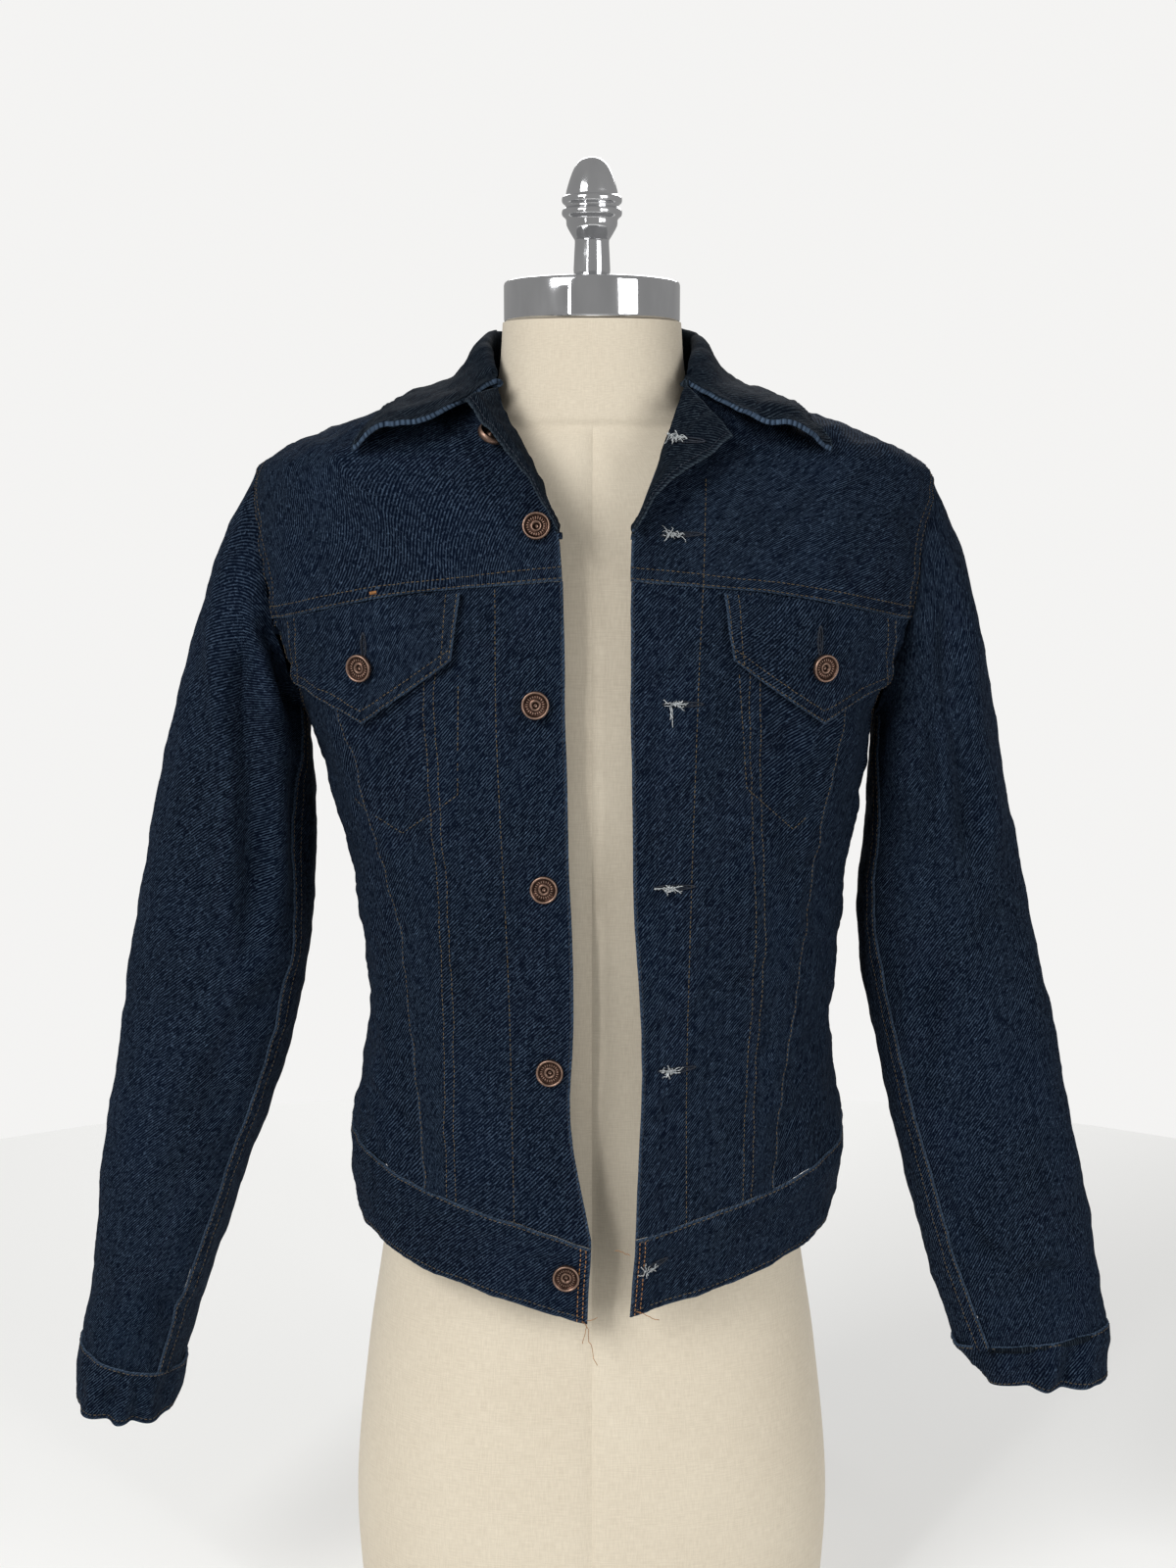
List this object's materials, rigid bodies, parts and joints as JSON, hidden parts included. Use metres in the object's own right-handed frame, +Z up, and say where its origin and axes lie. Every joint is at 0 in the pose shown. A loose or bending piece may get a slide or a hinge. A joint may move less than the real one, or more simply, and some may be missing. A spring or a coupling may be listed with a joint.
{
  "type": "denim jacket on a dress form",
  "caption": "Raw indigo denim jacket worn open on a limbless linen dress form with a chrome neck cap and finial.",
  "frame": {"origin": "centre of the form's flat underside", "axes": "+Z up along the form, -Y the way the front faces, +X towards the wearer's left"},
  "size_m": [0.6911, 0.2627, 0.981],
  "materials": {
    "denim": "raw indigo twill, matte",
    "linen": "plain cream linen",
    "chrome": "polished",
    "copper": "antique copper"
  },
  "bodies": {
    "root": {"form_torso": "linen", "form_neck_cap": "chrome", "form_finial": "chrome", "back_yoke": "denim", "back_centre": "denim", "back_side_left": "denim", "back_side_right": "denim", "front_yoke_left": "denim", "front_yoke_right": "denim", "front_centre_left": "denim", "front_centre_right": "denim", "front_middle_left": "denim", "front_middle_right": "denim", "front_side_left": "denim", "front_side_right": "denim", "upper_sleeve_left": "denim", "upper_sleeve_right": "denim", "under_sleeve_left": "denim", "under_sleeve_right": "denim", "cuff_left": "denim", "cuff_right": "denim", "collar": "denim", "waistband": "denim", "lapel_left": "denim", "lapel_right": "denim", "pocket_flap_left": "denim", "pocket_flap_right": "denim", "front_tack_1": "copper", "front_tack_2": "copper", "front_tack_3": "copper", "front_tack_4": "copper", "front_tack_5": "copper", "neck_tack": "copper", "flap_tack_left": "copper", "flap_tack_right": "copper", "cuff_tack_left": "copper", "cuff_tack_right": "copper"}
  },
  "joints": []
}
